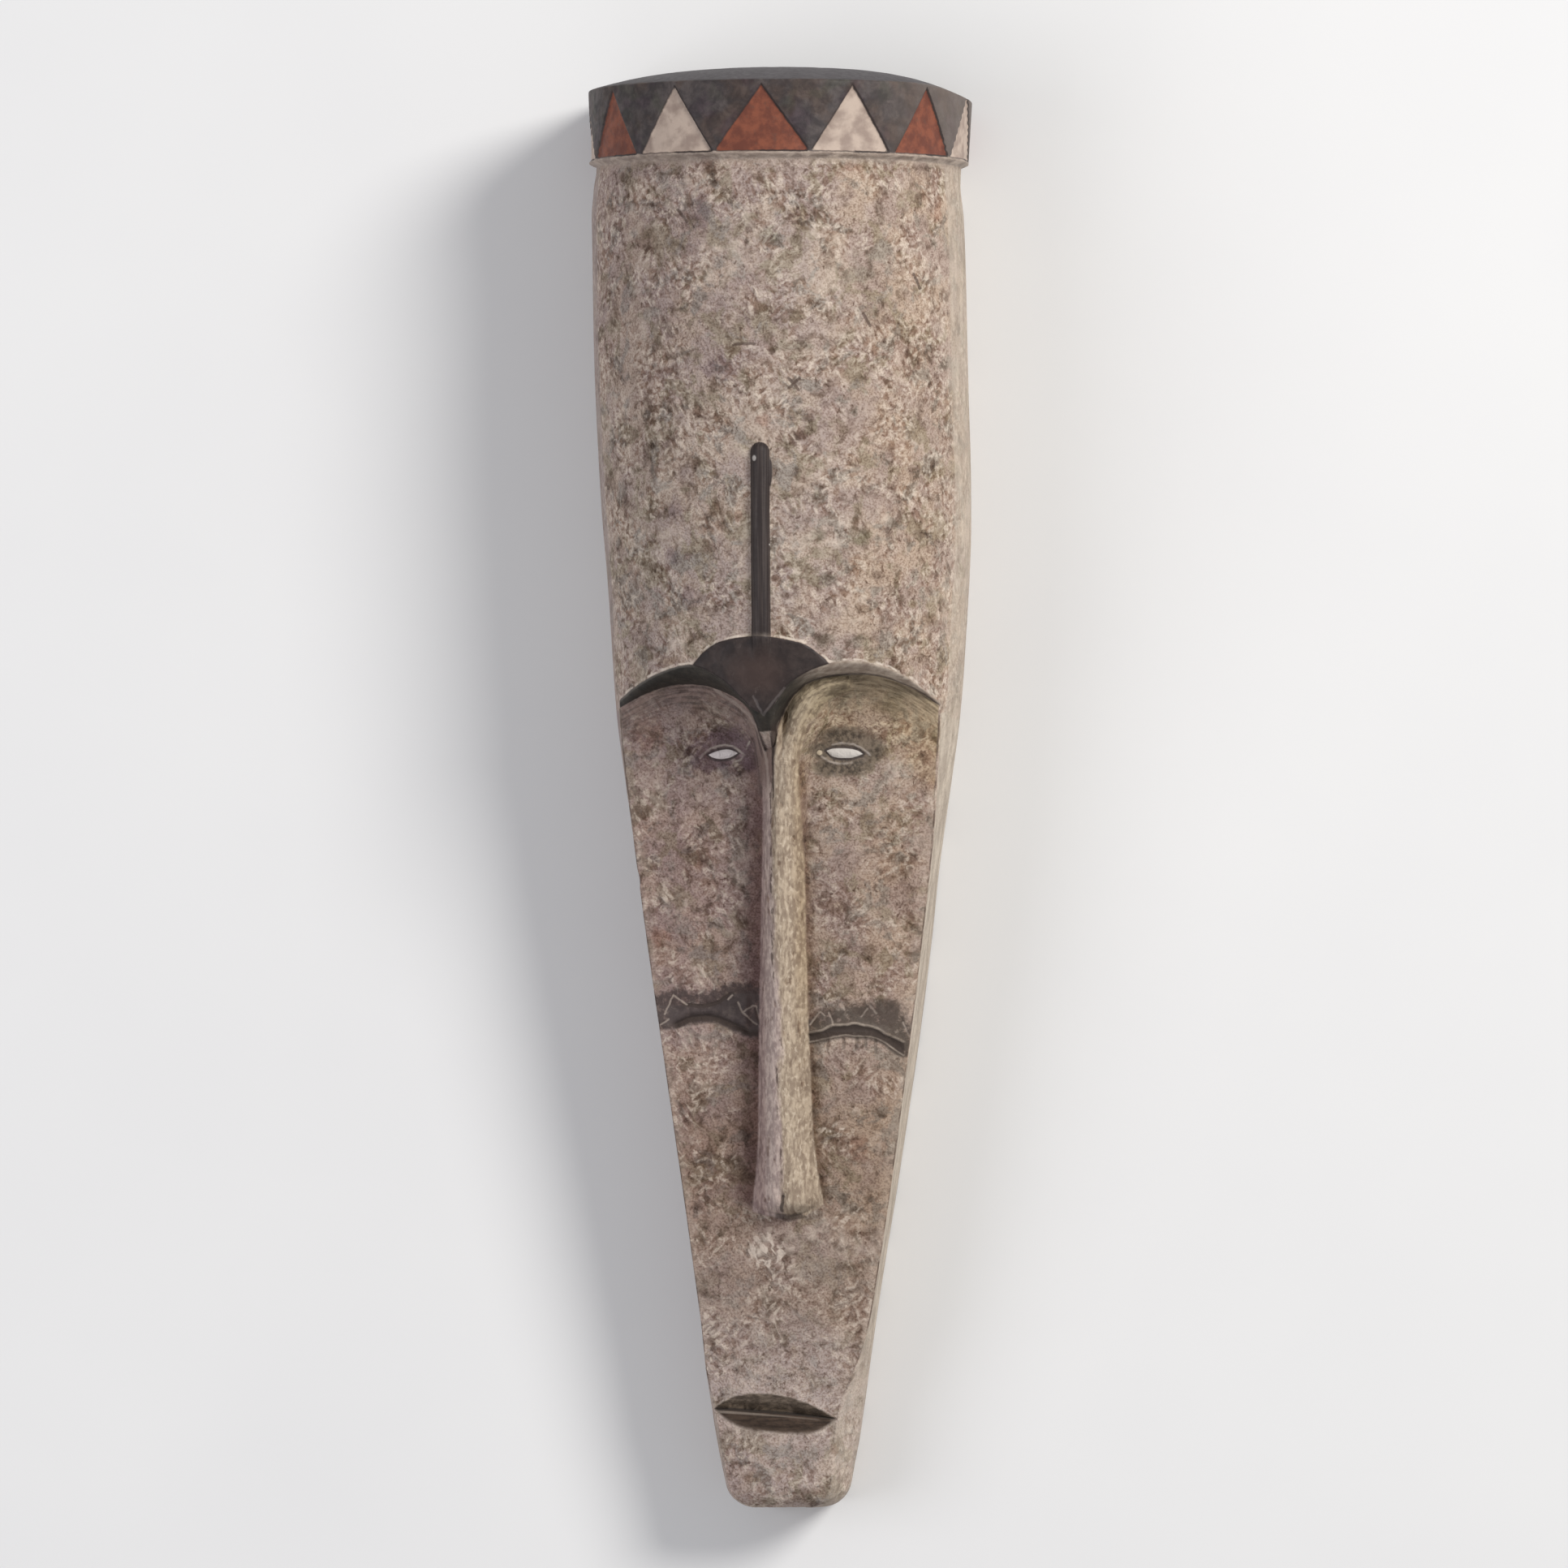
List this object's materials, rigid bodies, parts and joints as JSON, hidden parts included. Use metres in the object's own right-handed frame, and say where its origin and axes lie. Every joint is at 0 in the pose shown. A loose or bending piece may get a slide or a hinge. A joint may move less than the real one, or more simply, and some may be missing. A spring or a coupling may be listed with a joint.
{
  "type": "fang ngil mask",
  "caption": "Long carved wooden spirit mask, drum forehead with banded crown, slim nose and painted eyes, hollowed out behind.",
  "frame": {"origin": "under the middle of the mask, in the plane of its flat back rim", "axes": "+Y towards the crown, +X towards the viewer's right when the face is looked at, +Z out of the face"},
  "size_m": [0.237, 0.8894, 0.1751],
  "materials": {
    "painted_wood": "mottled matt kaolin over carved wood"
  },
  "bodies": {
    "root": {"mask": "painted_wood"}
  },
  "joints": []
}
